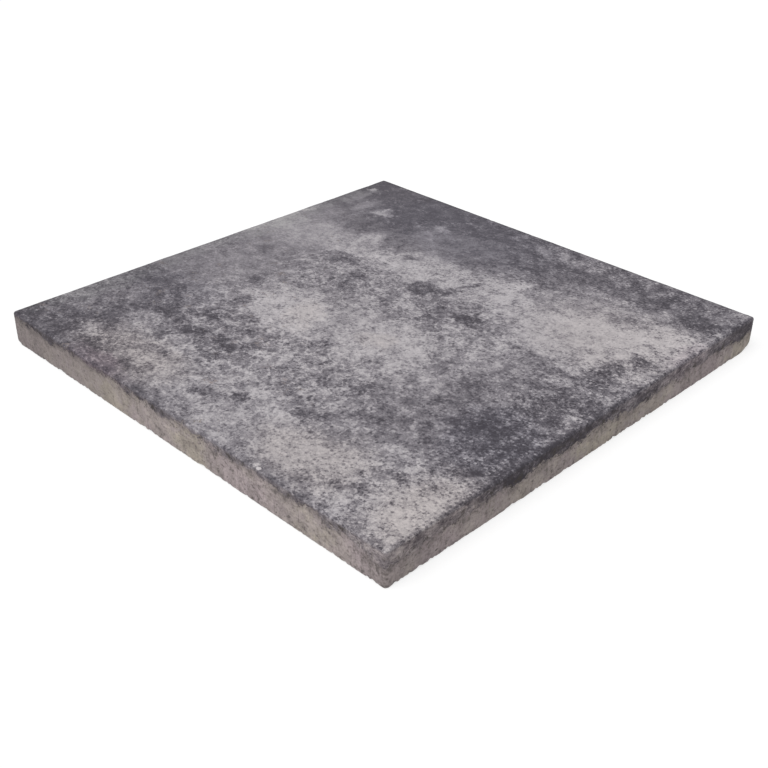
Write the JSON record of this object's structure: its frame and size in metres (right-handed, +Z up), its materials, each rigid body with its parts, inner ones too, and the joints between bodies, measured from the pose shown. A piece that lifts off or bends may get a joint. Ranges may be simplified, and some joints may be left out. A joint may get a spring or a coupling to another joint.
{
  "type": "concrete paving slab",
  "caption": "Square concrete paving slab with softened edges and a mottled grey walking face, laid flat on a bed to pave terraces and paths.",
  "frame": {"origin": "middle of the underside, on the bed that the slab lies on", "axes": "+X and +Y run along the slab's sides, +Z points up through the walking face"},
  "size_m": [0.6, 0.6, 0.04],
  "materials": {
    "concrete": "fine sandy cast face, clouded light and dark grey, over a taupe backing concrete that shows on the sides"
  },
  "bodies": {
    "root": {"slab": "concrete"}
  },
  "joints": []
}
